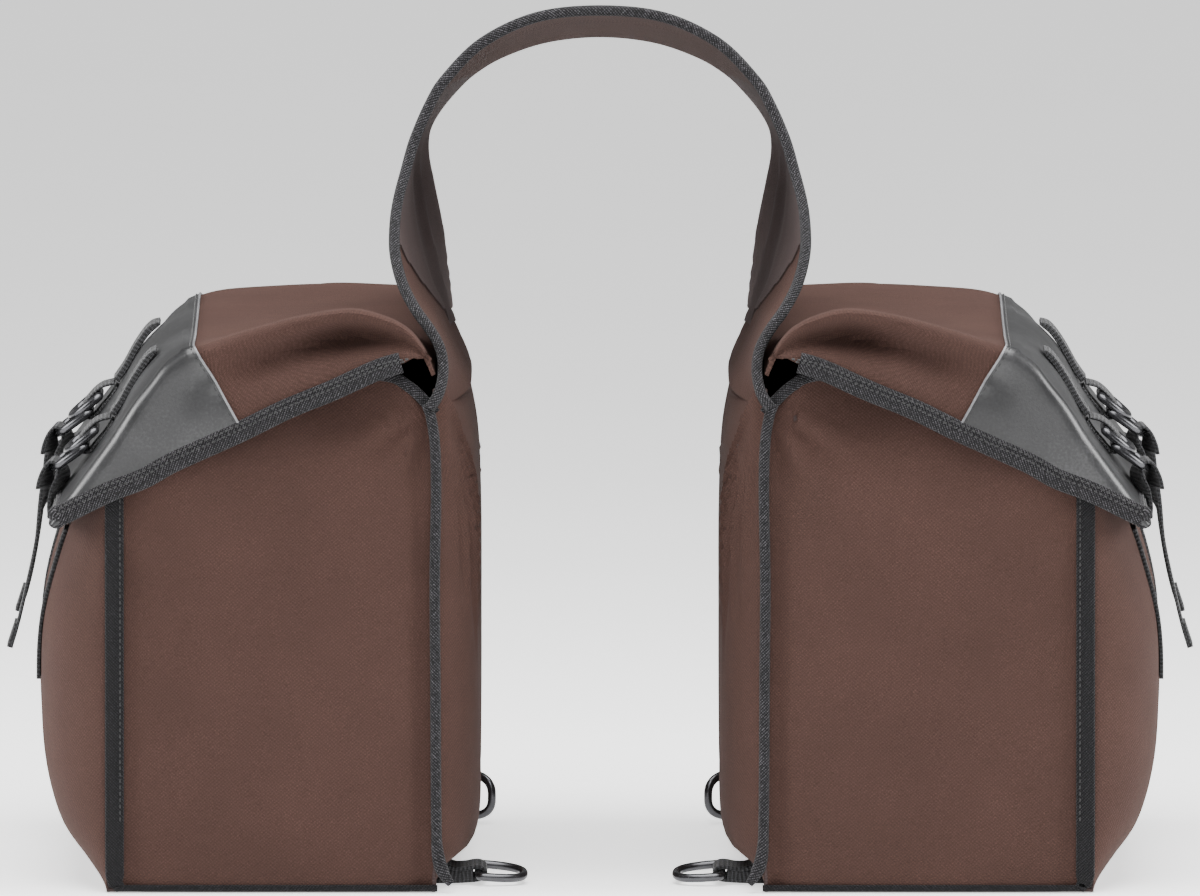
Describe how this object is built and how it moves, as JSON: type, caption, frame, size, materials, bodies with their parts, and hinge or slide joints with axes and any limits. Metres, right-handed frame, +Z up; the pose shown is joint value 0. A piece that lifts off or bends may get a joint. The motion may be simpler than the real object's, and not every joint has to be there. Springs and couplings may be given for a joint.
{
  "type": "saddle bag",
  "caption": "Double canvas saddle bag for a bicycle: a pair of boxy bags with strapped leather-fronted flaps, joined by an arched, waisted canvas bridge",
  "frame": {"origin": "floor level under the middle of the whole double bag, rings down", "axes": "+Z up, +X across the bicycle to the right bag, +Y along the bicycle to the front"},
  "size_m": [0.604, 0.3408, 0.4421],
  "materials": {
    "canvas": "brown ribbed cotton canvas, matt, light on raised threads",
    "lining": "dark charcoal plain-weave lining",
    "tape": "charcoal twill binding tape with two stitch rows",
    "leather": "smooth grey coated leather, soft sheen",
    "webbing": "near-black ribbed webbing",
    "ring_metal": "black-nickel coated round wire, glossy",
    "board": "plain black plastic stiffener board"
  },
  "bodies": {
    "bags": {"bridge_canvas": "canvas", "bridge_lining": "lining", "bridge_bindings": "tape", "right_outer_panel": "canvas", "right_rack_panel": "canvas", "right_rear_gusset": "canvas", "right_front_gusset": "canvas", "right_base_panel": "canvas", "right_rack_board": "board", "right_base_board": "board", "right_outer_seam_binding": "tape", "right_rack_seam_binding": "tape", "right_mouth_binding": "tape", "right_flap_root": "canvas", "right_anchor_straps": "webbing", "right_rear_ring_tab": "webbing", "right_front_ring_tab": "webbing", "left_outer_panel": "canvas", "left_rack_panel": "canvas", "left_rear_gusset": "canvas", "left_front_gusset": "canvas", "left_base_panel": "canvas", "left_rack_board": "board", "left_base_board": "board", "left_outer_seam_binding": "tape", "left_rack_seam_binding": "tape", "left_mouth_binding": "tape", "left_flap_root": "canvas", "left_anchor_straps": "webbing", "left_rear_ring_tab": "webbing", "left_front_ring_tab": "webbing"},
    "right_flap": {"right_flap_canvas": "canvas", "right_flap_patch": "leather", "right_flap_binding": "tape", "right_flap_straps": "webbing"},
    "right_rear_cinch": {"right_rear_cinch_loop": "webbing", "right_rear_cinch_rings": "ring_metal", "right_rear_cinch_strap": "webbing"},
    "right_rear_tail": {"right_rear_strap_tail": "webbing"},
    "right_rear_ring": {"right_rear_base_ring": "ring_metal"},
    "right_front_cinch": {"right_front_cinch_loop": "webbing", "right_front_cinch_rings": "ring_metal", "right_front_cinch_strap": "webbing"},
    "right_front_tail": {"right_front_strap_tail": "webbing"},
    "right_front_ring": {"right_front_base_ring": "ring_metal"},
    "left_flap": {"left_flap_canvas": "canvas", "left_flap_patch": "leather", "left_flap_binding": "tape", "left_flap_straps": "webbing"},
    "left_rear_cinch": {"left_rear_cinch_loop": "webbing", "left_rear_cinch_rings": "ring_metal", "left_rear_cinch_strap": "webbing"},
    "left_rear_tail": {"left_rear_strap_tail": "webbing"},
    "left_rear_ring": {"left_rear_base_ring": "ring_metal"},
    "left_front_cinch": {"left_front_cinch_loop": "webbing", "left_front_cinch_rings": "ring_metal", "left_front_cinch_strap": "webbing"},
    "left_front_tail": {"left_front_strap_tail": "webbing"},
    "left_front_ring": {"left_front_base_ring": "ring_metal"}
  },
  "joints": [
    {"name": "right_flap_hinge", "type": "hinge", "parent": "bags", "child": "right_flap", "pos_m": [0.11, 0, 0.2785], "axis": [0, -1, 0], "range_deg": [0, 85]},
    {"name": "right_rear_cinch_swing", "type": "hinge", "parent": "right_flap", "child": "right_rear_cinch", "pos_m": [0.2505, -0.085, 0.2365], "axis": [0, -1, 0], "range_deg": [0, 50]},
    {"name": "right_rear_tail_swing", "type": "hinge", "parent": "right_rear_cinch", "child": "right_rear_tail", "pos_m": [0.2865, -0.085, 0.199], "axis": [0, -1, 0], "range_deg": [0, 75]},
    {"name": "right_rear_ring_swing", "type": "hinge", "parent": "bags", "child": "right_rear_ring", "pos_m": [0.062, -0.122, 0.0063], "axis": [0, 0.9903, 0.1392], "range_deg": [0, 75]},
    {"name": "right_front_cinch_swing", "type": "hinge", "parent": "right_flap", "child": "right_front_cinch", "pos_m": [0.2505, 0.085, 0.2365], "axis": [0, -1, 0], "range_deg": [0, 50]},
    {"name": "right_front_tail_swing", "type": "hinge", "parent": "right_front_cinch", "child": "right_front_tail", "pos_m": [0.2865, 0.085, 0.199], "axis": [0, -1, 0], "range_deg": [0, 75]},
    {"name": "right_front_ring_swing", "type": "hinge", "parent": "bags", "child": "right_front_ring", "pos_m": [0.071, 0.1565, 0.014], "axis": [0, 0, 1], "range_deg": [-15, 15]},
    {"name": "left_flap_hinge", "type": "hinge", "parent": "bags", "child": "left_flap", "pos_m": [-0.11, 0, 0.2785], "axis": [0, 1, 0], "range_deg": [0, 85]},
    {"name": "left_rear_cinch_swing", "type": "hinge", "parent": "left_flap", "child": "left_rear_cinch", "pos_m": [-0.2505, -0.085, 0.2365], "axis": [0, 1, 0], "range_deg": [0, 50]},
    {"name": "left_rear_tail_swing", "type": "hinge", "parent": "left_rear_cinch", "child": "left_rear_tail", "pos_m": [-0.2865, -0.085, 0.199], "axis": [0, 1, 0], "range_deg": [0, 75]},
    {"name": "left_rear_ring_swing", "type": "hinge", "parent": "bags", "child": "left_rear_ring", "pos_m": [-0.062, -0.122, 0.0063], "axis": [0, -0.9903, -0.1392], "range_deg": [0, 75]},
    {"name": "left_front_cinch_swing", "type": "hinge", "parent": "left_flap", "child": "left_front_cinch", "pos_m": [-0.2505, 0.085, 0.2365], "axis": [0, 1, 0], "range_deg": [0, 50]},
    {"name": "left_front_tail_swing", "type": "hinge", "parent": "left_front_cinch", "child": "left_front_tail", "pos_m": [-0.2865, 0.085, 0.199], "axis": [0, 1, 0], "range_deg": [0, 75]},
    {"name": "left_front_ring_swing", "type": "hinge", "parent": "bags", "child": "left_front_ring", "pos_m": [-0.071, 0.1565, 0.014], "axis": [0, 0, 1], "range_deg": [-15, 15]}
  ]
}
